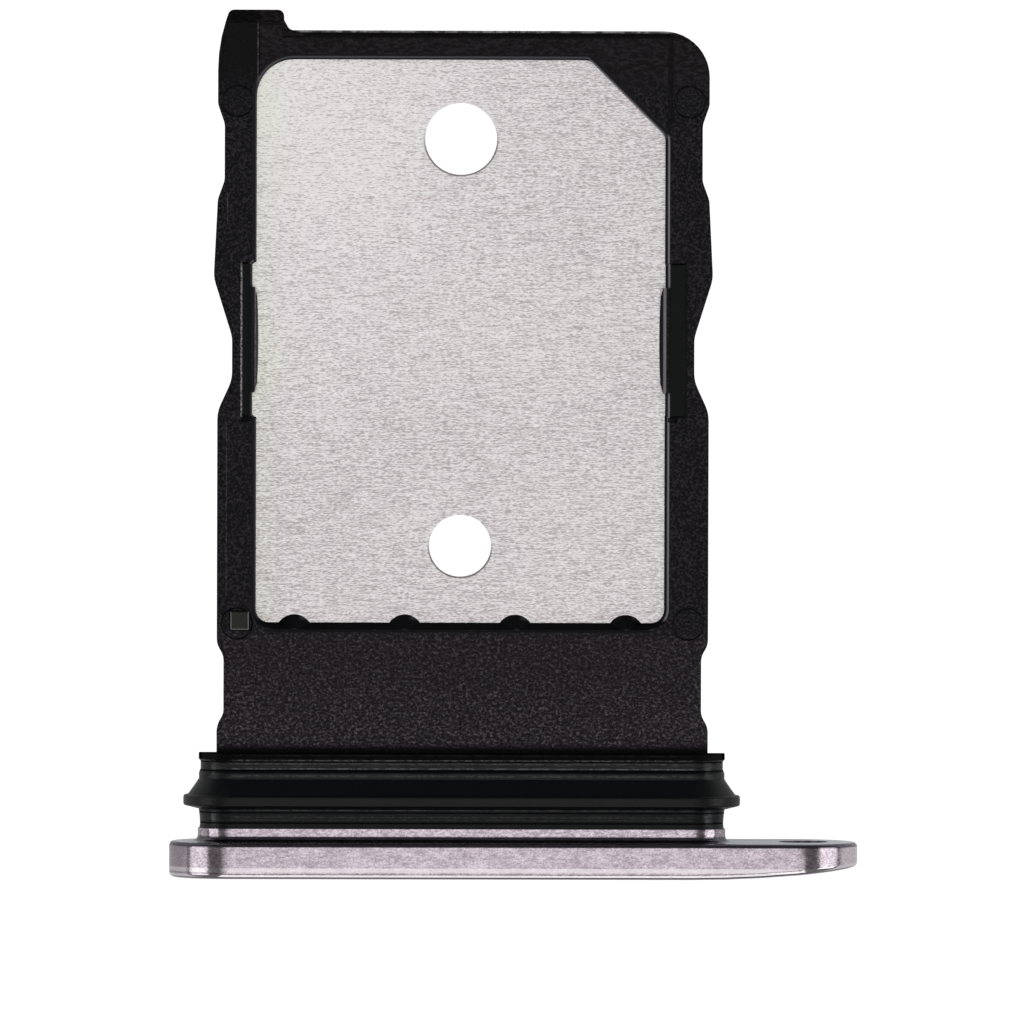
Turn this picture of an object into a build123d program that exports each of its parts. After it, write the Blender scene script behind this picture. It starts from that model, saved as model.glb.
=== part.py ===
from build123d import *
from math import asin, atan2, degrees
import os

# Card that the tray carries, a nano size card
card_width = 8.80
card_length = 12.30
card_thickness = 0.67
card_corner_cut = 1.65

# Room round the card in its pocket
side_gap = 0.14
end_play = 0.03
card_sink = 0.05
card_shift = 0.05
corner_ease = 0.10
wall_draft = 0.095
foot_wall_lean = 0.146
head_corner_radius = 0.83
foot_corner_radius = 0.30
cut_corner_radius = 0.28

# Stop cones along the foot wall of the pocket
stop_count = 4
stop_pitch = 2.456
stop_reach = 0.18
stop_radius = 0.415
stop_tip_radius = 0.12

# Grip pads at the waist, one on each rail
pad_length = 3.43
pad_width = 0.40
pad_rise = 0.045
pad_shift = 0.04
pad_drop = 0.063
grip_length = 2.34
grip_slope = 0.20
grip_reach = 0.055
grip_bow = 0.03
grip_rim_reach = 0.03
recess_depth = 0.05
slot_length = 0.10
slot_reach = 0.30
slot_depth = 0.30

# Moulded carrier
side_wall = 0.814
crossbar_width = 0.63
crossbar_rise = 0.045
crossbar_inset = 0.125
crossbar_side = 0.065
apron_length = 2.735
bottom_lip = 0.18
rail_chamfer = 0.11
rail_chamfer_drop = 0.035
step_slope = 45

# Rail profile from the inner end down to the waist
end_rail = 1.645
notch_slope_in = 0.43
notch_floor = 1.256
notch_slope_out = 0.417
notch_depth = 0.151
bulge_run = 1.739
bulge_rise = 0.086
waist_slope_upper = 1.306
waist_floor = 0.956
waist_slope_lower = 0.706
waist_depth = 0.324

# Rail profile from the flange up
foot_rail = 0.587
foot_slope_low = 0.26
foot_notch_floor = 1.306
foot_slope_high = 0.266
notch_corner_radius = 0.42
waist_corner_radius = 0.80
end_corner_radius = 1.02

# Guide tab at the inner end
tab_width = 1.587
tab_tip_width = 1.46
tab_tip_length = 0.225
tab_reach = 0.455
tab_lead_run = 1.34
tab_lead_in = 0.26
tab_corner_radius = 0.14
tab_step_root = 0.05
tab_root_radius = 0.15
tab_nose_length = 0.30
tab_nose_drop = 0.16

# Ejector marks, locating pip and gate mark on the top face
mark_radius = 0.36
mark_depth = 0.03
mark_inset = 0.035
head_mark_offset = 0.94
foot_mark_offset = 0.135
pip_size = 0.45
pip_rise = 0.05
pip_slope = 30
pip_shift = 0.065
gate_offset = 2.26
gate_radius = 0.09

# Stamped floor plate
plate_thickness = 0.20
plate_embed = 0.22
window_ledge = 0.30
head_hole_radius = 0.80
head_hole_offset = 1.755
foot_hole_radius = 0.69
foot_hole_offset = 1.71

# Spool that carries the seal
end_inset = 0.319
flange_thickness = 0.145
flange_wall = 0.1675
flange_edge_radius = 0.03
flange_lean = 0.06

# Rubber seal, in order from the neck to the flange
seal_wall = 0.136
shoulder_length = 0.115
shoulder_rise = 0.015
body_length = 0.31
undercut_length = 0.085
undercut_rise = 0.03
lip_rise = 0.374
lip_length = 0.235
lip_edge_radius = 0.06
flare_length = 0.355
flare_shoulder = 0.10
ridge_length = 0.127
ridge_rise = 0.0265
collar_slope = 0.09
collar_length = 0.172
collar_dip = 0.037
cuff_length = 0.046

# Face plate with its neck
bezel_thickness = 0.80
bezel_rim = 0.645
left_overhang = 0.636
neck_length = 0.29
neck_wall = 0.185
neck_root_radius = 0.14
socket_depth = 0.30
bow_radius = 27.0
bow_lead = 2.58
face_edge_radius = 0.12
back_edge_radius = 0.10
pin_hole_radius = 0.545
pin_hole_offset = 1.735
pin_hole_margin = 1.20
pin_hole_edge_radius = 0.08

# Pocket and carrier sizes that follow
pocket_width = card_width + 2 * side_gap
pocket_length = card_length + end_play + stop_reach
pocket_depth = card_thickness + card_sink
pocket_corner_cut = card_corner_cut + side_gap - corner_ease
pocket_half = pocket_width / 2
rim_half = pocket_half + wall_draft
rail_half = rim_half + side_wall
carrier_thickness = bottom_lip + plate_thickness + pocket_depth
carrier_length = apron_length + foot_wall_lean + pocket_length + crossbar_width

# Spool, seal and neck radii round one straight span
end_center = rail_half - end_inset
core_radius = carrier_thickness / 2
flange_radius = core_radius + flange_wall
body_radius = core_radius + seal_wall
lip_radius = body_radius + lip_rise
neck_radius = core_radius + neck_wall
neck_width = 2 * (end_center + neck_radius)
lip_start = shoulder_length + body_length + undercut_length
flare_start = lip_start + lip_length
ridge_start = flare_start + flare_length
ridge_end = ridge_start + ridge_length
seal_length = ridge_end + collar_slope + collar_length + cuff_length

# Overall sizes, with the origin under the middle of the whole tray
bezel_width = left_overhang + neck_width + pin_hole_offset + pin_hole_margin
bezel_height = 2 * (neck_radius + bezel_rim)
spool_length = seal_length + flange_thickness
overall_length = bezel_thickness + neck_length + spool_length + carrier_length + tab_reach
front_y = -overall_length / 2
back_y = front_y + bezel_thickness
neck_end_y = back_y + neck_length
flange_front_y = neck_end_y + seal_length
flange_face_y = flange_front_y + flange_thickness
tray_x = left_overhang + neck_width / 2 - bezel_width / 2
pocket_x = tray_x - card_shift
pad_x = pocket_x - pad_shift
pin_hole_x = bezel_width / 2 - pin_hole_margin
mid_z = bezel_height / 2

# Carrier heights
carrier_bottom_z = mid_z - core_radius
plate_bottom_z = carrier_bottom_z + bottom_lip
plate_top_z = plate_bottom_z + plate_thickness
rail_top_z = plate_top_z + pocket_depth

# Distances up the carrier, measured from the flange face
pocket_rim = apron_length
pocket_foot = pocket_rim + foot_wall_lean
pocket_head = pocket_foot + pocket_length
tab_end = carrier_length + tab_reach
notch_top = carrier_length - end_rail
notch_in = notch_top - notch_slope_in
notch_out = notch_in - notch_floor
notch_low = notch_out - notch_slope_out
bulge_peak = notch_low - bulge_run
waist_top = bulge_peak - waist_slope_upper
waist_low = waist_top - waist_floor
waist_end = waist_low - waist_slope_lower
pad_middle = waist_top - pad_drop
foot_notch_low = foot_rail
foot_notch_in = foot_notch_low + foot_slope_low
foot_notch_out = foot_notch_in + foot_notch_floor
foot_notch_top = foot_notch_out + foot_slope_high


def plan_plane(middle_x, height):
    """Plan plane at a height, with its origin at the flange face on a line of symmetry."""
    return Plane(origin=(middle_x, flange_face_y, height))


def section_plane(depth):
    """Upright plane facing the front at a depth, with its origin on the spool's axis."""
    return Plane(origin=(tray_x, depth, mid_z), x_dir=(1, 0, 0), z_dir=(0, -1, 0))


def spool_section(radius):
    """Long round-ended section of the spool, the seal and the neck."""
    SlotCenterToCenter(2 * end_center, 2 * radius)


def pocket_outline(height, margin):
    """Card-shaped outline with one cut corner, at a height and grown by a margin."""
    half = pocket_half + margin
    foot = pocket_foot - margin
    head = pocket_head + margin
    with BuildSketch(plan_plane(pocket_x, height)) as outline:
        with BuildLine():
            FilletPolyline(
                (-half, foot),
                (half, foot),
                (half, head - pocket_corner_cut),
                (half - pocket_corner_cut, head),
                (-half, head),
                radius=[
                    foot_corner_radius,
                    foot_corner_radius,
                    cut_corner_radius,
                    cut_corner_radius,
                    head_corner_radius,
                ],
                close=True,
            )
        make_face()
    return outline.sketch


def rail_points(side, top):
    """Outer edge of one rail, from the centre line at the flange up to a height."""
    rail = side * rail_half
    notch = side * (rail_half - notch_depth)
    waist = side * (rail_half - waist_depth)
    bulge = side * (rail_half + bulge_rise)
    return [
        (0, 0),
        (rail, 0),
        (rail, foot_notch_low),
        (notch, foot_notch_in),
        (notch, foot_notch_out),
        (rail, foot_notch_top),
        (rail, waist_end),
        (waist, waist_low),
        (waist, waist_top),
        (bulge, bulge_peak),
        (rail, notch_low),
        (notch, notch_out),
        (notch, notch_in),
        (rail, notch_top),
        (rail, top),
    ]


rail_radii = [0] + [notch_corner_radius] * 4 + [waist_corner_radius] * 4 + [notch_corner_radius] * 4

# Face plate: a round-ended bar whose face bows back past the straight part
with BuildPart() as bezel:
    bow_start_x = pin_hole_x - bow_lead
    bow_sweep = degrees(asin((bezel_width / 2 - bow_start_x) / bow_radius))
    with BuildSketch():
        with BuildLine():
            straight = Line((-bezel_width / 2, front_y), (bow_start_x, front_y))
            bow = CenterArc((bow_start_x, front_y + bow_radius), bow_radius, 270, bow_sweep)
            Polyline(bow @ 1, (bezel_width / 2, back_y), (-bezel_width / 2, back_y), straight @ 0)
        make_face()
    extrude(amount=bezel_height)
    with BuildSketch(Plane(origin=(0, back_y, mid_z), x_dir=(1, 0, 0), z_dir=(0, -1, 0))):
        SlotOverall(bezel_width, bezel_height)
    extrude(amount=bezel_thickness, mode=Mode.INTERSECT)
    flat_face = bezel.faces().filter_by(Axis.Y).sort_by(Axis.Y)[0]
    fillet(flat_face.edges().filter_by(Axis.Z, reverse=True), face_edge_radius)
    fillet(bezel.edges().group_by(Axis.Y)[-1], back_edge_radius)

    # Neck behind it, with a root fillet and a socket for the spool's spigot
    with BuildSketch(section_plane(neck_end_y)):
        spool_section(neck_radius)
    extrude(amount=neck_length)
    root = bezel.edges(Select.LAST).filter_by_position(Axis.Y, back_y, back_y)
    fillet(root, neck_root_radius)
    with BuildSketch(section_plane(neck_end_y)):
        spool_section(core_radius)
    extrude(amount=socket_depth, mode=Mode.SUBTRACT)

    # Pin hole through the bowed end
    with BuildSketch(section_plane(back_y)):
        with Locations((pin_hole_x - tray_x, 0)):
            Circle(pin_hole_radius)
    extrude(amount=bezel_thickness, mode=Mode.SUBTRACT)
    fillet(bezel.edges(Select.LAST).sort_by(Axis.Y)[0], pin_hole_edge_radius)

# Rubber seal: one profile run round the spool, straight along it and turned at both ends
with BuildPart() as seal:
    right_end = Plane(origin=(tray_x + end_center, neck_end_y, mid_z), x_dir=(0, 1, 0), z_dir=(1, 0, 0))
    shoulder_radius = body_radius + shoulder_rise
    ridge_radius = body_radius + ridge_rise
    collar_radius = ridge_radius - collar_dip
    collar_start = ridge_end + collar_slope
    with BuildSketch(right_end) as seal_profile:
        with BuildLine():
            body = Polyline(
                (0, core_radius),
                (0, shoulder_radius),
                (shoulder_length, body_radius),
                (shoulder_length + body_length, body_radius + undercut_rise),
                (lip_start, lip_radius),
                (flare_start, lip_radius),
            )
            Polyline(
                body @ 1,
                (flare_start, lip_radius - flare_shoulder),
                (ridge_start, ridge_radius),
                (ridge_end, ridge_radius),
                (collar_start, collar_radius),
                (collar_start + collar_length, collar_radius),
                (seal_length, flange_radius),
                (seal_length, core_radius),
                (0, core_radius),
            )
        make_face()
        lip_corners = seal_profile.vertices().group_by(Axis.Y)[-1]
        fillet(lip_corners, lip_edge_radius)
    spool_axis = Axis((tray_x + end_center, 0, mid_z), (0, 1, 0))
    extrude(seal_profile.sketch, amount=-2 * end_center)
    mirror(about=Plane.XY.offset(mid_z))
    revolve(seal_profile.sketch, axis=spool_axis, revolution_arc=180)
    mirror(about=Plane.YZ.offset(tray_x))

# Stamped plate that the card lies on
with BuildPart() as floor_plate:
    extrude(pocket_outline(plate_bottom_z, plate_embed), amount=plate_thickness)
    with BuildSketch(plan_plane(pocket_x, plate_bottom_z)):
        with Locations((0, pocket_head - head_hole_offset)):
            Circle(head_hole_radius)
        with Locations((0, pocket_foot + foot_hole_offset)):
            Circle(foot_hole_radius)
    extrude(amount=plate_thickness, mode=Mode.SUBTRACT)

# One grip: sloped ends and a bowed face in plan, leaning from the plate back to the rim
with BuildPart() as grip:
    grip_end = grip_length / 2
    grip_flat = grip_end - grip_slope
    grip_root = rim_half + recess_depth
    grip_edge = pocket_half - grip_reach
    grip_tip = grip_edge - grip_bow
    with BuildSketch(plan_plane(pad_x, plate_top_z)):
        with BuildLine():
            face = ThreePointArc(
                (grip_edge, pad_middle + grip_flat),
                (grip_tip, pad_middle),
                (grip_edge, pad_middle - grip_flat),
            )
            Polyline(
                face @ 1,
                (pocket_half, pad_middle - grip_end),
                (grip_root, pad_middle - grip_end),
                (grip_root, pad_middle + grip_end),
                (pocket_half, pad_middle + grip_end),
                face @ 0,
            )
        make_face()
    extrude(amount=pocket_depth)
    grip_start_y = flange_face_y + pad_middle + grip_end
    with BuildSketch(Plane(origin=(pad_x, grip_start_y, mid_z), x_dir=(1, 0, 0), z_dir=(0, -1, 0))):
        with BuildLine():
            Polyline(
                (grip_root, plate_top_z - mid_z),
                (grip_root, rail_top_z - mid_z),
                (rim_half - grip_rim_reach, rail_top_z - mid_z),
                (grip_tip, plate_top_z - mid_z),
                close=True,
            )
        make_face()
    extrude(amount=grip_length, mode=Mode.INTERSECT)

# Moulded carrier: rails, apron, crossbar and guide tab in one outline
with BuildPart() as carrier_frame:
    with BuildSketch(plan_plane(tray_x, carrier_bottom_z)) as outline:
        with BuildLine():
            right = FilletPolyline(
                *rail_points(1, carrier_length),
                (0, carrier_length),
                radius=rail_radii + [end_corner_radius],
            )
            Line(right @ 1, right @ 0)
        make_face()
        with BuildLine():
            left = FilletPolyline(*rail_points(-1, tab_end - tab_lead_run), radius=rail_radii)
            lead = TangentArc(left @ 1, (tab_lead_in - rail_half, tab_end), tangent=(0, 1))
            tab = FilletPolyline(
                lead @ 1,
                (tab_tip_width - rail_half, tab_end),
                (tab_tip_width - rail_half, tab_end - tab_tip_length),
                (tab_width - rail_half, carrier_length),
                (0, carrier_length),
                radius=[tab_corner_radius, tab_step_root, tab_root_radius],
            )
            Line(tab @ 1, left @ 0)
        make_face()
        fillet(outline.vertices().sort_by_distance(lead @ 1)[0], tab_corner_radius)
    extrude(amount=carrier_thickness)
    top_face = carrier_frame.faces().sort_by(Axis.Z)[-1]
    rim_edges = top_face.outer_wire().edges()
    outer_edges = rim_edges - rim_edges.group_by(Axis.Y)[0]
    chamfer(outer_edges, rail_chamfer, rail_chamfer_drop, reference=top_face)

    # Crossbar, a step above the rails, which runs into the tab
    bar_half = rim_half - crossbar_side
    bar_foot = pocket_head - pocket_corner_cut
    bar_end = carrier_length - crossbar_inset
    bar_tab = tab_width - rail_half - crossbar_inset
    bar_tip = tab_end - tab_nose_length
    with BuildSketch(plan_plane(tray_x, rail_top_z)):
        with BuildLine():
            Polyline(
                (bar_half, bar_foot),
                (bar_half, bar_end),
                (bar_tab, bar_end),
                (bar_tab, bar_tip),
                (-bar_half, bar_tip),
                (-bar_half, bar_foot),
                close=True,
            )
        make_face()
    extrude(amount=crossbar_rise, taper=step_slope)

    # Grip pads at the waist
    with BuildSketch(plan_plane(tray_x, rail_top_z)):
        with Locations((0, pad_middle)):
            with GridLocations(pocket_width + pad_width, pad_length, 2, 1):
                Rectangle(pad_width, pad_length)
    extrude(amount=pad_rise, taper=step_slope)

    # Sloped nose of the tab
    nose_plane = Plane(origin=(tray_x - rail_half, flange_face_y, 0), x_dir=(0, 1, 0), z_dir=(1, 0, 0))
    with BuildSketch(nose_plane):
        with BuildLine():
            Polyline(
                (tab_end - tab_nose_length, rail_top_z),
                (tab_end, rail_top_z),
                (tab_end, rail_top_z - tab_nose_drop),
                close=True,
            )
        make_face()
    extrude(amount=tab_width, mode=Mode.SUBTRACT)

    # Pocket down to the plate, the plate's slot and the window below it
    top_z = rail_top_z + crossbar_rise
    draft_angle = degrees(atan2(wall_draft, pocket_depth))
    pocket_cut = top_z - plate_top_z
    extrude(pocket_outline(plate_top_z, 0), amount=pocket_cut, taper=-draft_angle, mode=Mode.SUBTRACT)
    extrude(pocket_outline(plate_bottom_z, plate_embed), amount=plate_thickness, mode=Mode.SUBTRACT)
    extrude(pocket_outline(carrier_bottom_z, -window_ledge), amount=bottom_lip, mode=Mode.SUBTRACT)

    # Foot wall that leans back from the plate to the rim
    lean_length = 2 * (foot_wall_lean + foot_corner_radius)
    with BuildSketch(plan_plane(pocket_x, rail_top_z)):
        with Locations((0, pocket_rim + lean_length / 2)):
            RectangleRounded(pocket_width - 2 * foot_wall_lean, lean_length, foot_corner_radius)
    lean_angle = degrees(atan2(foot_wall_lean, pocket_depth))
    extrude(amount=-pocket_depth, taper=lean_angle, mode=Mode.SUBTRACT)

    # Recess behind each grip, with sloped ends, and a slot below each pad
    recess_end = pad_length / 2
    recess_flat = recess_end - recess_depth
    recess_wall = pocket_half + recess_depth
    with BuildSketch(plan_plane(pad_x, plate_top_z)):
        with BuildLine():
            Polyline(
                (grip_tip, pad_middle - recess_end),
                (pocket_half, pad_middle - recess_end),
                (recess_wall, pad_middle - recess_flat),
                (recess_wall, pad_middle + recess_flat),
                (pocket_half, pad_middle + recess_end),
                (grip_tip, pad_middle + recess_end),
                close=True,
            )
        make_face()
        mirror(about=Plane.YZ)
    extrude(amount=pocket_cut, taper=-draft_angle, mode=Mode.SUBTRACT)
    with BuildSketch(plan_plane(pad_x, rail_top_z + pad_rise)):
        with Locations((0, pad_middle - recess_end - slot_length / 2)):
            with GridLocations(pocket_width + slot_reach, slot_length, 2, 1):
                Rectangle(slot_reach, slot_length)
    extrude(amount=-slot_depth, mode=Mode.SUBTRACT)

    # Grips on both walls
    add(grip.part)
    add(mirror(grip.part, about=Plane.YZ.offset(pad_x), mode=Mode.PRIVATE))

    # Stop cones along the foot wall
    stop_y = flange_face_y + pocket_foot + stop_reach - stop_radius
    with Locations((pocket_x, stop_y, plate_top_z)):
        with GridLocations(stop_pitch, stop_pitch, stop_count, 1):
            Cone(
                stop_radius,
                stop_tip_radius,
                pocket_depth,
                align=(Align.CENTER, Align.CENTER, Align.MIN),
            )

    # Ejector marks on the rails, the pip beside one of them and the gate mark on the crossbar
    mark_x = rim_half + side_wall / 2 - mark_inset
    head_mark = pocket_head - head_mark_offset
    foot_mark = pocket_rim + foot_mark_offset
    with BuildSketch(plan_plane(tray_x, rail_top_z)):
        with Locations((0, head_mark), (0, foot_mark)):
            with GridLocations(2 * mark_x, 2 * mark_x, 2, 1):
                Circle(mark_radius)
    extrude(amount=-mark_depth, taper=step_slope, mode=Mode.SUBTRACT)
    with BuildSketch(plan_plane(tray_x, rail_top_z - mark_depth)):
        with Locations((pip_shift - mark_x, foot_mark + pip_shift)):
            Rectangle(pip_size, pip_size)
    extrude(amount=mark_depth + pip_rise, taper=pip_slope)
    with BuildSketch(plan_plane(tray_x, rail_top_z)):
        with Locations((-gate_offset, carrier_length - crossbar_inset)):
            Circle(gate_radius)
    extrude(amount=crossbar_rise, mode=Mode.SUBTRACT)

    # Spool: a flange whose ends lean below, then the core through the seal to the neck's socket
    with BuildSketch(section_plane(flange_face_y)):
        spool_section(flange_radius)
    extrude(amount=flange_thickness)
    flange_face = carrier_frame.faces(Select.LAST).filter_by(Axis.Y).sort_by(Axis.Y)[-1]
    fillet(flange_face.outer_wire().edges(), flange_edge_radius)
    flange_end = end_center + flange_radius - rail_half
    for end_x in (tray_x + rail_half, tray_x - rail_half - flange_end):
        with BuildSketch(Plane(origin=(end_x, flange_face_y, mid_z), x_dir=(0, 1, 0), z_dir=(1, 0, 0))):
            with BuildLine():
                Polyline((0, 0), (0, -flange_radius), (-flange_lean, -flange_radius), close=True)
            make_face()
        extrude(amount=flange_end, mode=Mode.SUBTRACT)
    with BuildSketch(section_plane(flange_front_y)):
        spool_section(core_radius)
    extrude(amount=seal_length + socket_depth)

os.makedirs("parts", exist_ok=True)
bezel.part.label = "bezel"
export_step(bezel.part, "parts/bezel.step")
seal.part.label = "seal"
export_step(seal.part, "parts/seal.step")
floor_plate.part.label = "floor_plate"
export_step(floor_plate.part, "parts/floor_plate.step")
carrier_frame.part.label = "carrier_frame"
export_step(carrier_frame.part, "parts/carrier_frame.step")
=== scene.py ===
import math

import bpy
import bmesh
from mathutils import Matrix, Vector

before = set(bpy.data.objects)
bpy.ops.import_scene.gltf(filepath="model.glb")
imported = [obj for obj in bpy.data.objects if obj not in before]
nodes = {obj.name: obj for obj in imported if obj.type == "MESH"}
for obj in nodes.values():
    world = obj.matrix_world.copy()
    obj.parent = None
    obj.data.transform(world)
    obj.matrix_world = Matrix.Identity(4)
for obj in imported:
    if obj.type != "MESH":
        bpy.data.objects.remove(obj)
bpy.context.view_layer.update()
scene = bpy.context.scene
mm = 0.001  # the frame is in metres, sizes below are in millimetres
lineFade = 0.1  # how softly a painted line ends
leastOfBrokenLine = 0.18  # what is left of a broken painted highlight line where it breaks


class Wire:
    # a shader socket that takes + - * and ** with numbers and other wires
    def __init__(self, tree, socket=None):
        self.tree = tree
        self.socket = socket

    def node(self, kind, settings=None, values=None, output=0):
        made = self.tree.nodes.new(kind)
        for name, value in (settings or {}).items():
            setattr(made, name, value)
        for name, value in (values or {}).items():
            if isinstance(value, Wire):
                self.tree.links.new(value.socket, made.inputs[name])
            else:
                made.inputs[name].default_value = value
        return Wire(self.tree, made.outputs[output] if made.outputs else None)

    def maths(self, operation, first, second):
        return self.node("ShaderNodeMath", {"operation": operation}, {0: first, 1: second})

    def __add__(self, other):
        return self.maths("ADD", self, other)

    def __radd__(self, other):
        return self.maths("ADD", other, self)

    def __sub__(self, other):
        return self.maths("SUBTRACT", self, other)

    def __rsub__(self, other):
        return self.maths("SUBTRACT", other, self)

    def __mul__(self, other):
        return self.maths("MULTIPLY", self, other)

    def __rmul__(self, other):
        return self.maths("MULTIPLY", other, self)

    def __pow__(self, other):
        return self.maths("POWER", self, other)


def startFinish(name):
    # an empty node tree, and the place on the part in millimetres
    material = bpy.data.materials.new(name)
    material.use_nodes = True
    material.node_tree.nodes.clear()
    pen = Wire(material.node_tree)
    place = pen.node("ShaderNodeTexCoord", output="Object")
    place = pen.node("ShaderNodeVectorMath", {"operation": "SCALE"}, {0: place, "Scale": 1 / mm})
    return material, pen, place


def along(place, axis):
    return place.node("ShaderNodeSeparateXYZ", None, {0: place}, axis)


def ramp(value, low, high):
    # 0 below low and 1 above high, eased between
    limits = {"Value": value, "From Min": low, "From Max": high, "To Min": 0.0, "To Max": 1.0}
    return value.node("ShaderNodeMapRange", {"interpolation_type": "SMOOTHSTEP"}, limits)


def band(value, low, high, soft):
    return ramp(value, low - soft, low + soft) * (1 - ramp(value, high - soft, high + soft))


def grain(place, perMm, detail=2.0, rough=0.5):
    # noise with its own fineness along X, Y and Z
    stretched = place.node("ShaderNodeVectorMath", {"operation": "MULTIPLY"}, {0: place, 1: perMm})
    values = {"Vector": stretched, "Scale": 1.0, "Detail": detail, "Roughness": rough}
    return place.node("ShaderNodeTexNoise", None, values, "Fac")


def swing(noise, depth):
    # noise as a change to both sides of a value
    return (noise - 0.5) * depth


def stroke(place, axis, line):
    # a thin line at one place on an axis, from start to stop along the other
    at, width, start, stop, strength = line
    run = along(place, "Y" if axis == "X" else "X")
    stripe = band(along(place, axis), at - width / 2, at + width / 2, width / 3)
    return stripe * band(run, start, stop, lineFade) * strength


def hairline(place, axis, line, perMm):
    # the same, broken up unevenly, for painted highlight lines
    uneven = leastOfBrokenLine + ramp(grain(place, perMm, 3.0, 0.75), 0.42, 0.60) * (1 - leastOfBrokenLine)
    return stroke(place, axis, line) * uneven


def size(value):
    return value.node("ShaderNodeMath", {"operation": "ABSOLUTE"}, {0: value})


def blend(amount, first, second):
    return amount.node("ShaderNodeMix", {"data_type": "RGBA"}, {0: amount, 6: first, 7: second}, 2)


def tint(colour, shade):
    settings = {"data_type": "RGBA", "blend_type": "MULTIPLY"}
    return colour.node("ShaderNodeMix", settings, {0: 1.0, 6: colour, 7: shade}, 2)


def bump(height, depth):
    return height.node("ShaderNodeBump", None, {"Height": height, "Distance": depth * mm, "Strength": 1.0})


def endFinish(pen, values):
    shader = pen.node("ShaderNodeBsdfPrincipled", None, values)
    pen.node("ShaderNodeOutputMaterial", None, {"Surface": shader})


def endMixed(pen, amount, first, second):
    both = pen.node("ShaderNodeMixShader", None, {0: amount, 1: first, 2: second})
    pen.node("ShaderNodeOutputMaterial", None, {"Surface": both})


def mattFinish(pen, colour):
    # no gloss at all
    return pen.node("ShaderNodeBsdfPrincipled", None, {
        "Base Color": colour,
        "Roughness": 1.0,
        "Specular IOR Level": 0.0,
    })


def facing(pen, axis):
    # how far a face looks along an axis, from -1 to 1
    return along(pen.node("ShaderNodeTexCoord", output="Normal"), axis)


def dress(name, material):
    for slot in nodes[name].material_slots:
        slot.material = material
    print("dressed", name)


# Stamped plate: steel brushed across the tray
plateLook = {
    "bright": (1.0, 0.957, 0.967, 1.0),
    "dull": (0.47, 0.42, 0.435, 1.0),
    "green": (0.95, 1.0, 0.90, 1.0),
    # painted shade for the lower side of the hole edges
    "shade": (0.10, 0.085, 0.08, 1.0),
    "streaks": (1.7, 36.0, 4.0),  # grain per millimetre along X, Y and Z
    "nicks": (12.0, 50.0, 8.0),
    "clouds": (0.30, 0.42, 0.3),
    "shine": 0.56,  # 0 is dull, 1 is bright
    "streakDepth": 2.5,
    "nickDepth": 3.4,
    "cloudDepth": 0.35,
    "paintedLightDepth": 0.34,
    "paintedLightSide": (2.0, -6.0),  # painted light: brighter from one X to the other, and from one Y to the other
    "paintedLightHead": (-2.0, 9.0),
    "greenSide": (-4.9, -5.7),
    "roughness": 0.30,
    "roughnessSwing": 0.2,
    "bumpDepth": 0.0014,
    # middle and radius of each hole, and how wide the painted shade along its lower edge is
    "holes": ((-1.1995, 6.783, 0.80), (-1.1995, -2.262, 0.69)),
    "holeShadeWidth": 0.035,
}


def plateSteel():
    material, pen, place = startFinish("brushedPlate")
    look = plateLook
    x = along(place, "X")
    y = along(place, "Y")
    streak = grain(place, look["streaks"], 3.0, 0.6)
    nick = grain(place, look["nicks"], 2.0, 0.6)
    cloud = grain(place, look["clouds"], 2.0)
    # painted light: the plate is brighter towards one side and one end
    paintedLight = ramp(x, *look["paintedLightSide"]) * ramp(y, *look["paintedLightHead"])
    shine = look["shine"] + swing(streak, look["streakDepth"]) + swing(nick, look["nickDepth"])
    shine = shine + swing(cloud, look["cloudDepth"]) + paintedLight * look["paintedLightDepth"]
    colour = blend(ramp(shine, -0.15, 1.15), look["dull"], look["bright"])
    tinge = ramp(cloud, 0.50, 0.62) * 0.25 + ramp(x, *look["greenSide"]) * 0.7
    colour = blend(tinge, colour, tint(colour, look["green"]))
    for holeX, holeY, radius in look["holes"]:
        across = x - holeX
        down = y - holeY
        away = (across * across + down * down) ** 0.5
        # painted shade along the lower half of each hole's edge
        edge = band(away, radius - 0.01, radius + look["holeShadeWidth"], 0.012)
        colour = blend(edge * ramp(down, 0.25, -0.35) * 0.8, colour, look["shade"])
    endFinish(pen, {
        "Base Color": colour,
        "Metallic": 1.0,
        "Roughness": look["roughness"] + swing(streak, look["roughnessSwing"]),
        "Normal": bump(streak + nick * 0.6, look["bumpDepth"]),
    })
    return material


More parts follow.
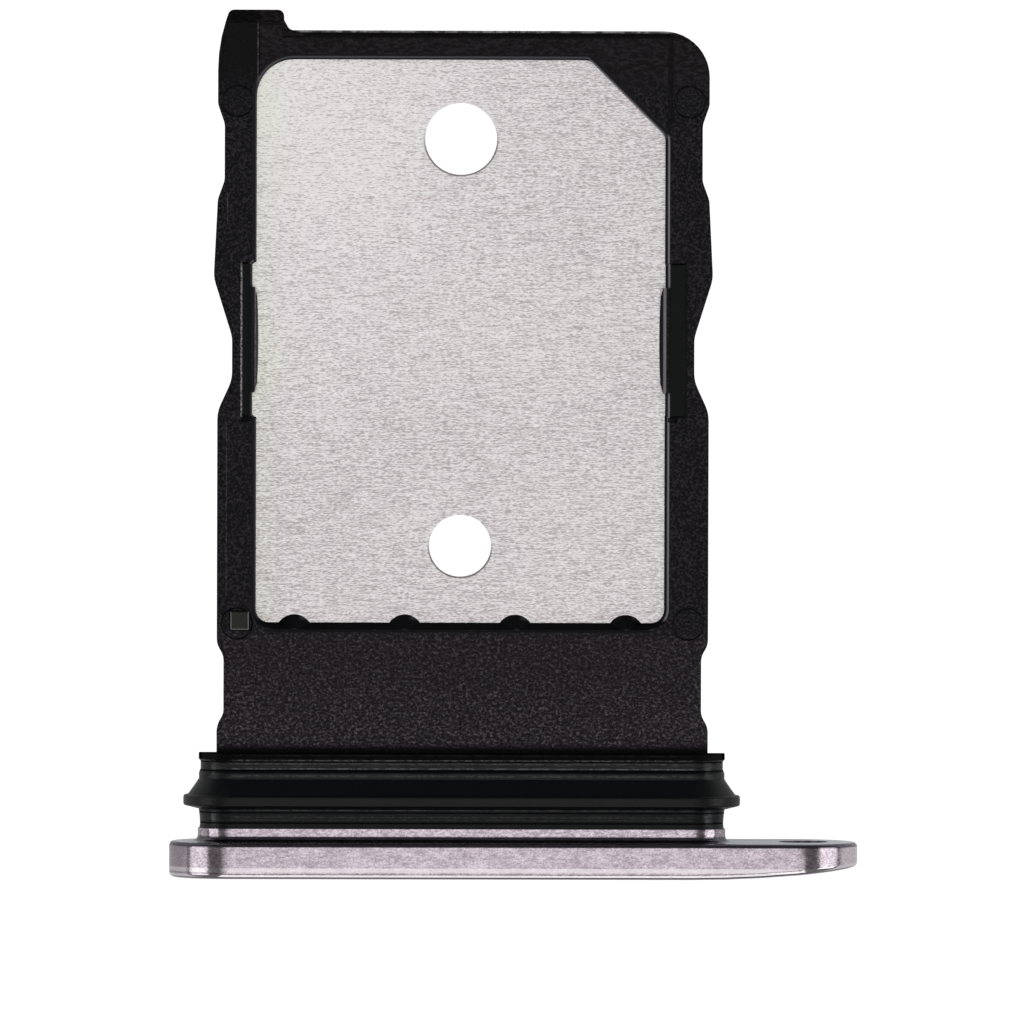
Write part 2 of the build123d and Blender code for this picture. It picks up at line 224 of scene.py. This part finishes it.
# Moulded carrier: black, spark-textured on the apron, smoother on the rails and the grip pads
carrierLook = {
    "black": (0.0016, 0.0016, 0.0020, 1.0),
    "wall": (0.016, 0.016, 0.018, 1.0),
    # painted light: the inside walls lighter, and a pale painted highlight near their top
    "wallLitInside": (0.028, 0.027, 0.031, 1.0),
    "wallHighlight": (0.36, 0.35, 0.37, 1.0),
    "rail": (0.0012, 0.0008, 0.0024, 1.0),
    "slab": (0.0046, 0.0030, 0.0034, 1.0),
    "apron": (0.0104, 0.0058, 0.0112, 1.0),
    "pad": (0.0042, 0.0062, 0.0052, 1.0),
    "pip": (0.030, 0.032, 0.027, 1.0),
    # painted highlight colour for the pip's sloping sides
    "pipSideHighlight": (0.26, 0.26, 0.25, 1.0),
    "light": (0.215, 0.190, 0.220, 1.0),
    # painted highlight colour for the edge lines
    "edgeHighlight": (0.60, 0.57, 0.60, 1.0),
    "grit": (20.0, 20.0, 20.0),
    "weave": (13.0, 17.0, 13.0),
    "drawn": (9.0, 20.0, 20.0),
    "dots": (2.0, 20.0, 20.0),
    "streakNoise": (4.0, 2.0, 20.0),
    "padMiddle": (-1.1495, 2.312),
    "padSide": (4.56, 4.90),
    "padHalf": 1.70,
    "pipMiddle": (-6.0915, -3.918),
    "pipHalf": 0.203,
    "pocketMiddle": -1.1995,
    "pocketHalf": 4.70,
    "pocketEnds": (-3.9, 8.75),
    "roughness": 0.50,
    "roughnessSwing": 0.2,
    "gloss": 0.14,
    "bumpDepth": 0.002,
    # noise between these two shows as light grains
    "gritSpan": (0.43, 0.66),
    "weaveSpan": (0.41, 0.64),
    "drawnSpan": (0.40, 0.66),
    # a face is a wall, or a slope, when its upward share falls below these
    "wallLean": (0.62, 0.35),
    "slopeLean": (0.92, 0.74),
    "slopeShade": 0.8,
    "endShade": 0.9,
    # where the tone changes, from one Y or X to the other
    "apronEdge": (-4.05, -4.30),
    "apronLight": (-4.5, -6.3),
    # painted shade where the apron meets the seal
    "flangeShadeEdge": (-6.62, -6.80),
    "endFrom": (7.2, 8.6),
    "endSide": (-5.60, -5.75),
    "slabFrom": (7.6, 8.3),
    "slabSide": (-5.75, -5.66),
    # heights of the painted highlight on the pocket's right, head and other walls, and how pale each is
    "highlightRight": (1.60, 1.86),
    "highlightHead": (1.44, 1.70),
    "highlightFoot": (1.58, 1.24),
    "rightHighlightShare": 0.9,
    "headHighlightShare": 0.34,
    "leftHighlightShare": 0.26,
    # how strongly the light grains show
    "railSpecks": 0.185,
    "padSpecks": 0.025,
    "slabSpecks": 0.03,
    "endSpecks": 0.035,
    "slabStreaks": 0.10,
    "apronSpecks": (0.13, 0.48),  # everywhere, and added by the grit
    "apronShare": (0.78, 0.36),  # at the pocket, and added towards the seal
    # painted highlight lines: place on X, width, start and stop on Y, strength
    "highlightsAlongY": (
        (-5.715, 0.026, 8.06, 9.30, 0.30),
        (-6.068, 0.036, 0.62, 3.98, 1.0),
        (-5.762, 0.026, 0.72, 3.70, 0.55),
        (-6.394, 0.018, -3.40, 0.40, 0.14),
        (-6.380, 0.018, 4.85, 5.55, 0.16),
    ),
    # painted highlight lines: place on Y, width, start and stop on X, strength
    "highlightsAlongX": (
        (9.148, 0.044, -4.80, 3.50, 0.75),
        (-6.905, 0.022, -6.20, 3.95, 0.05),
    ),
    # dark lines, given in the same way
    "shadesAlongY": ((3.462, 0.060, 7.10, 9.04, 0.8), (3.795, 0.040, 0.62, 3.98, 0.6)),
    "shadesAlongX": (
        (9.075, 0.070, -4.70, 3.45, 0.85),
        (9.010, 0.100, -3.52, -3.30, 0.9),
        (-4.146, 0.050, -5.55, 3.15, 0.8),
    ),
}


def carrierPlastic():
    material, pen, place = startFinish("sparkedPlastic")
    look = carrierLook
    x = along(place, "X")
    y = along(place, "Y")
    level = size(facing(pen, "Z"))
    toX = facing(pen, "X")
    toY = facing(pen, "Y")
    wall = ramp(level, *look["wallLean"])
    slope = ramp(level, *look["slopeLean"])
    apron = ramp(y, *look["apronEdge"])
    flangeShade = ramp(y, *look["flangeShadeEdge"])
    end = ramp(y, *look["endFrom"]) * ramp(x, *look["endSide"])
    slab = ramp(y, *look["slabFrom"]) * ramp(x, *look["slabSide"])
    padX, padY = look["padMiddle"]
    inner, outer = look["padSide"]
    reach = look["padHalf"]
    pad = band(size(x - padX), inner, outer, 0.02) * band(y, padY - reach, padY + reach, 0.02)
    pipX, pipY = look["pipMiddle"]
    half = look["pipHalf"]
    pip = band(size(x - pipX), -1.0, half, 0.005) * band(size(y - pipY), -1.0, half, 0.005)
    grit = ramp(grain(place, look["grit"], 2.0, 0.6), *look["gritSpan"])
    weave = ramp(grain(place, look["weave"], 2.0, 0.75), *look["weaveSpan"])
    drawn = ramp(grain(place, look["drawn"], 2.0, 0.6), *look["drawnSpan"])
    colour = blend(apron, look["rail"], look["apron"])
    colour = blend(slab, colour, look["slab"])
    colour = blend(end * look["endShade"], colour, look["black"])
    colour = blend(pad, colour, look["pad"])
    rail = look["railSpecks"]
    show = rail - pad * (rail - look["padSpecks"])
    show = show - slab * (rail - look["slabSpecks"]) - end * (rail - look["endSpecks"])
    least, added = look["apronSpecks"]
    nearPocket, nearSeal = look["apronShare"]
    sparkle = weave * (least + grit * added)
    sparkle = sparkle * (nearPocket + ramp(y, *look["apronLight"]) * nearSeal)
    specks = (grit * show + drawn * slab * look["slabStreaks"]) * (1 - apron) + apron * sparkle
    colour = blend(specks, colour, look["light"])
    # painted highlights along edges
    paintedHighlights = 0
    for line in look["highlightsAlongY"]:
        paintedHighlights = hairline(place, "X", line, look["dots"]) + paintedHighlights
    for line in look["highlightsAlongX"]:
        paintedHighlights = hairline(place, "Y", line, look["streakNoise"]) + paintedHighlights
    shades = slope * look["slopeShade"]
    for line in look["shadesAlongY"]:
        shades = shades + stroke(place, "X", line)
    for line in look["shadesAlongX"]:
        shades = shades + stroke(place, "Y", line)
    # painted shade: black towards the seal, on slopes and along the shade lines
    paintedShade = 1 - (1 - flangeShade) * (1 - ramp(shades, 0.0, 1.0))
    colour = blend(paintedShade, colour, look["black"])
    colour = blend(paintedHighlights, colour, look["edgeHighlight"])
    # painted highlight on the pip's sloping sides that don't face +Y
    pipSlope = pip * ramp(level, 0.97, 0.90)
    colour = blend(pip, colour, look["pip"])
    colour = blend(pipSlope * ramp(toY, 0.5, 0.2), colour, look["pipSideHighlight"])
    plastic = pen.node("ShaderNodeBsdfPrincipled", None, {
        "Base Color": colour,
        "Roughness": look["roughness"] + swing(grit, look["roughnessSwing"]) - pip * 0.2,
        "Specular IOR Level": look["gloss"],
        "Normal": bump(grit * (1 - pip), look["bumpDepth"]),
    })
    # the upright walls are matt, so they don't mirror the plate; inside, each has its own painted
    # highlight near its top, and all but the foot wall are painted lighter as if lit
    across = size(x - look["pocketMiddle"])
    inside = band(across, -1.0, look["pocketHalf"], 0.01) * band(y, *look["pocketEnds"], 0.05)
    z = along(place, "Z")
    right = ramp(toX, -0.2, -0.5)
    head = ramp(toY, -0.2, -0.5)
    left = ramp(toX, 0.2, 0.5)
    corner = right * head
    # painted highlight near the top of each inside wall
    paintedWallHighlight = band(z, *look["highlightRight"], 0.05) * (right - corner) * look["rightHighlightShare"]
    paintedWallHighlight = paintedWallHighlight + band(z, *look["highlightHead"], 0.05) * (head - corner) * look["headHighlightShare"]
    paintedWallHighlight = paintedWallHighlight + ramp(z, *look["highlightFoot"]) * (corner + left * look["leftHighlightShare"])
    walls = blend(inside * (right + head - corner + left), look["wall"], look["wallLitInside"])
    walls = blend(inside * paintedWallHighlight, walls, look["wallHighlight"])
    # painted shade on the walls towards the seal
    walls = blend(flangeShade, walls, look["black"])
    # painted highlights along edges inside the pocket
    walls = blend(paintedHighlights * inside, walls, look["edgeHighlight"])
    matt = mattFinish(pen, walls)
    dry = (wall + flangeShade * (1 - wall) * 0.5) * (1 - pip)
    endMixed(pen, dry, plastic, matt)
    return material


# Rubber seal: smooth and black, with fine streaks bumped into its flat parts and painted there as sheen,
# painted highlight lines and glints, and painted shade in its grooves
sealLook = {
    "dark": (0.0022, 0.0030, 0.0042, 1.0),
    "lip": (0.0072, 0.0070, 0.0074, 1.0),
    "light": (0.26, 0.25, 0.255, 1.0),
    "streakNoise": (2.4, 30.0, 3.0),
    "breaks": (8.0, 12.0, 1.0),
    "sheenSpan": (0.42, 0.70),
    "roughness": 0.36,
    "roughnessSwing": 0.2,
    "gloss": 0.25,
    "bumpDepth": 0.002,
    # start and stop of each part on Y, and how strongly its painted sheen shows
    "collar": (-7.215, -6.99),
    "ridge": (-7.40, -7.30),
    "body": (-8.37, -8.19),
    "rear": (-8.52, -8.43),
    "lipTop": (-8.00, -7.81),
    "collarSheen": 0.17,
    "ridgeSheen": 0.12,
    "bodySheen": 0.09,
    "rearShare": 0.6,  # of the body's painted sheen and bump
    # painted highlight lines: place on Y, width, start and stop on X, strength
    "lines": (
        (-7.014, 0.028, -6.25, 4.00, 0.58),
        (-7.090, 0.028, -6.25, 4.00, 0.30),
        (-7.200, 0.026, -6.25, 4.00, 0.60),
        (-7.360, 0.050, -6.25, 4.00, 0.20),
        (-8.118, 0.020, -6.25, 4.00, 0.36),
        (-8.275, 0.026, -6.25, 4.00, 0.18),
        (-8.335, 0.026, -6.25, 4.00, 0.14),
    ),
    # place on X, width, start and stop on Y, strength
    "glints": (
        (-6.66, 0.09, -7.34, -7.04, 0.30),
        (-6.66, 0.09, -8.40, -8.16, 0.55),
        (4.30, 0.13, -7.34, -7.04, 0.30),
        (4.30, 0.13, -8.40, -8.16, 0.55),
    ),
    "grooveShadeShare": 0.85,
    # place on Y and width of the grooves, painted matt dark as shade
    "grooves": ((-7.050, 0.030), (-7.245, 0.040), (-8.175, 0.036), (-8.405, 0.040)),
}


def sealRubber():
    material, pen, place = startFinish("smoothRubber")
    look = sealLook
    y = along(place, "Y")
    streakNoise = grain(place, look["streakNoise"], 4.0, 0.7)
    collar = band(y, *look["collar"], 0.02)
    ridge = band(y, *look["ridge"], 0.02)
    body = band(y, *look["body"], 0.02) + band(y, *look["rear"], 0.02) * look["rearShare"]
    lip = band(y, *look["lipTop"], 0.01)
    flat = collar + ridge + body
    # painted sheen on the flat parts, broken by the streak noise
    paintedSheen = collar * look["collarSheen"] + ridge * look["ridgeSheen"] + body * look["bodySheen"]
    upward = ramp(facing(pen, "Z"), 0.2, 0.5)
    amount = ramp(streakNoise, *look["sheenSpan"]) * paintedSheen
    # painted highlight lines and painted glints, added to the painted sheen
    for line in look["lines"]:
        amount = amount + hairline(place, "Y", line, look["breaks"])
    for line in look["glints"]:
        amount = amount + hairline(place, "X", line, look["breaks"]) * upward
    colour = blend(lip, look["dark"], look["lip"])
    colour = blend(amount, colour, look["light"])
    rubber = pen.node("ShaderNodeBsdfPrincipled", None, {
        "Base Color": colour,
        "Roughness": look["roughness"] + swing(streakNoise, look["roughnessSwing"]),
        "Specular IOR Level": look["gloss"],
        "Normal": bump(streakNoise * flat, look["bumpDepth"]),
    })
    # painted shade: the grooves turn matt dark
    dull = 0
    for at, width in look["grooves"]:
        dull = band(y, at - width / 2, at + width / 2, 0.008) * look["grooveShadeShare"] + dull
    grooveShade = mattFinish(pen, look["dark"])
    endMixed(pen, dull, rubber, grooveShade)
    return material


# Face plate: pale pink metal, polished in front and finely grained round its sides
bezelLook = {
    "face": (0.90, 0.78, 0.83, 1.0),
    "bright": (0.84, 0.745, 0.81, 1.0),
    "dull": (0.36, 0.30, 0.345, 1.0),
    "stripe": (0.93, 0.88, 0.91, 1.0),
    "back": (0.80, 0.85, 0.92, 1.0),
    "rootShade": (0.05, 0.05, 0.07, 1.0),
    "rim": (0.16, 0.15, 0.19, 1.0),
    "grain": (9.0, 19.0, 19.0),
    "fine": (24.0, 34.0, 34.0),
    "blotch": (2.6, 5.0, 5.0),
    "shine": 0.38,  # 0 is dull, 1 is bright
    "grainDepth": 1.6,
    "neckDepth": 0.8,  # more grain on the neck
    "fineDepth": 1.2,
    "blotchDepth": 0.7,
    # how far a face is turned along Y where each zone begins, and where it is full
    "frontTurn": (-0.80, -0.95),
    "edgeTurn": (-0.04, -0.20),
    "rimTurn": (-0.50, -0.68),
    "backTurn": (0.96, 0.99),
    "grooveTurn": (0.03, 0.22),
    "grooveOver": (0.93, 0.985),
    "highlightStripePlace": (-9.470, -9.372),  # on Y, where a painted highlight stripe runs
    "neckFrom": (-8.83, -8.80),
    "leftEnd": (-7.20, -7.40),  # on X, where painted shade darkens the left round end and painted light brightens the right one
    "rightEnd": (7.10, 7.40),
    "endShadeAndLight": 0.42,
    "faceRoughness": 0.10,
    "sideRoughness": 0.17,
    "roughnessSwing": 0.12,
    "bumpDepth": 0.0015,
}


def bezelMetal():
    material, pen, place = startFinish("pinkMetal")
    look = bezelLook
    x = along(place, "X")
    y = along(place, "Y")
    turned = facing(pen, "Y")
    front = ramp(turned, *look["frontTurn"])
    edge = ramp(turned, *look["edgeTurn"]) * (1 - front)
    back = ramp(turned, *look["backTurn"])
    rootShade = ramp(turned, *look["grooveTurn"]) * (1 - ramp(turned, *look["grooveOver"]))
    speck = grain(place, look["grain"], 3.0, 0.65)
    fine = grain(place, look["fine"], 1.0)
    blotch = grain(place, look["blotch"], 2.0)
    neck = ramp(y, *look["neckFrom"])
    shine = look["shine"] + swing(speck, look["grainDepth"] + neck * look["neckDepth"])
    shine = shine + swing(fine, look["fineDepth"]) + swing(blotch, look["blotchDepth"])
    # painted shade on the left round end, painted light on the right one
    change = look["endShadeAndLight"]
    shine = shine - ramp(x, *look["leftEnd"]) * change + ramp(x, *look["rightEnd"]) * change
    colour = blend(ramp(shine, -0.1, 1.1), look["dull"], look["bright"])
    # painted highlight: a pale stripe across the side and along the upper front edge
    stripe = band(y, *look["highlightStripePlace"], 0.012) * 0.55 + edge * 0.7
    colour = blend(stripe, colour, look["stripe"])
    # painted shade along the lower front edge
    colour = blend(ramp(turned, *look["rimTurn"]) * 0.9, colour, look["rim"])
    # painted shade in the hollow at the neck's root and along the back fillet
    colour = blend(rootShade * 0.8, colour, look["rootShade"])
    # painted reflection: the back face pale blue, as if mirroring a bright floor
    colour = blend(back, colour, look["back"])
    colour = blend(front, colour, look["face"])
    plain = (1 - front) * (1 - edge)
    rougher = look["sideRoughness"] - look["faceRoughness"] + swing(speck, look["roughnessSwing"])
    endFinish(pen, {
        "Base Color": colour,
        "Metallic": 1.0,
        "Roughness": look["faceRoughness"] + plain * rougher,
        "Normal": bump(speck * plain, look["bumpDepth"]),
    })
    return material


dress("floor_plate", plateSteel())
dress("carrier_frame", carrierPlastic())
dress("seal", sealRubber())
dress("bezel", bezelMetal())

# Studio: a white floor, one soft light overhead, one in front and one on each side
studio = {
    "floorSize": 3.0,
    "floorColour": (0.90, 0.90, 0.90, 1.0),
    "floorGlow": 1.12,
    "floorSeen": 0.95,
    "floorMirrored": 0.20,
    "overhead": {"place": (0, 0, 0.62), "size": (0.34, 0.34), "power": 0.325},
    "front": {"place": (0, -0.46, 0.40), "size": (0.40, 0.50), "power": 0.60},
    "left": {"place": (-0.48, 0, 0.24), "size": (0.55, 0.35), "power": 0.72},
    "right": {"place": (0.48, 0, 0.24), "size": (0.55, 0.35), "power": 0.88},
    "room": 0.13,
    "roomSeen": 0.95,
}


def layFloor():
    shape = bmesh.new()
    bmesh.ops.create_grid(shape, x_segments=1, y_segments=1, size=studio["floorSize"] / 2)
    mesh = bpy.data.meshes.new("studioFloor")
    shape.to_mesh(mesh)
    shape.free()
    floor = bpy.data.objects.new("studioFloor", mesh)
    scene.collection.objects.link(floor)
    # the camera sees a lit white floor, while the tray mirrors a plain pale one
    material, pen = startFinish("whiteFloor")[:2]
    mirrored = studio["floorMirrored"]
    direct = pen.node("ShaderNodeLightPath", output="Is Camera Ray")
    seen = mirrored + direct * (studio["floorSeen"] - mirrored)
    plain = pen.node("ShaderNodeBsdfDiffuse", None, {"Color": studio["floorColour"]})
    glow = pen.node("ShaderNodeEmission", None, {"Strength": studio["floorGlow"]})
    endMixed(pen, seen, plain, glow)
    mesh.materials.append(material)


def hangLight(name):
    setup = studio[name]
    lamp = bpy.data.lights.new(name + "Light", "AREA")
    lamp.shape = "RECTANGLE"
    lamp.size, lamp.size_y = setup["size"]
    lamp.energy = setup["power"]
    light = bpy.data.objects.new(name + "Light", lamp)
    light.location = setup["place"]
    light.rotation_mode = "QUATERNION"
    light.rotation_quaternion = Vector(setup["place"]).to_track_quat("Z", "Y")
    scene.collection.objects.link(light)


def fillRoom():
    world = bpy.data.worlds.new("room")
    world.use_nodes = True
    world.node_tree.nodes.clear()
    pen = Wire(world.node_tree)
    seen = pen.node("ShaderNodeLightPath", output="Is Camera Ray")
    strength = studio["room"] + seen * (studio["roomSeen"] - studio["room"])
    back = pen.node("ShaderNodeBackground", None, {"Color": (1, 1, 1, 1), "Strength": strength})
    pen.node("ShaderNodeOutputWorld", None, {"Surface": back})
    scene.world = world


layFloor()
for lightName in ("overhead", "front", "left", "right"):
    hangLight(lightName)
fillRoom()
scene.view_settings.view_transform = "Standard"
print("studio ready")

# Camera: almost straight above, a little from the left and from the inner end
view = {
    "imagePx": 1024,
    "pxPerMm": 45.0,
    "distance": 0.25,
    "fromLeft": 1.0,
    "fromInnerEnd": 1.0,
    "roll": 0.15,
    "aim": (-0.050, -1.505, 1.38),
    "sensor": 36.0,
    "clip": (0.01, 10),
}


def setCamera():
    left = math.tan(math.radians(view["fromLeft"]))
    inner = math.tan(math.radians(view["fromInnerEnd"]))
    toCamera = Vector((-left, inner, 1)).normalized()
    level = Vector((0, toCamera.z, -toCamera.y)).normalized()
    up = Matrix.Rotation(math.radians(view["roll"]), 3, toCamera) @ level
    right = up.cross(toCamera)
    lens = bpy.data.cameras.new("tableCamera")
    lens.sensor_width = view["sensor"]
    lens.lens = view["sensor"] * view["distance"] / (view["imagePx"] / view["pxPerMm"] * mm)
    lens.clip_start, lens.clip_end = view["clip"]
    camera = bpy.data.objects.new("tableCamera", lens)
    turn = Matrix((right, up, toCamera)).transposed().to_4x4()
    stand = Vector(view["aim"]) * mm + toCamera * view["distance"]
    camera.matrix_world = Matrix.Translation(stand) @ turn
    scene.collection.objects.link(camera)
    scene.camera = camera


setCamera()
print("camera set")
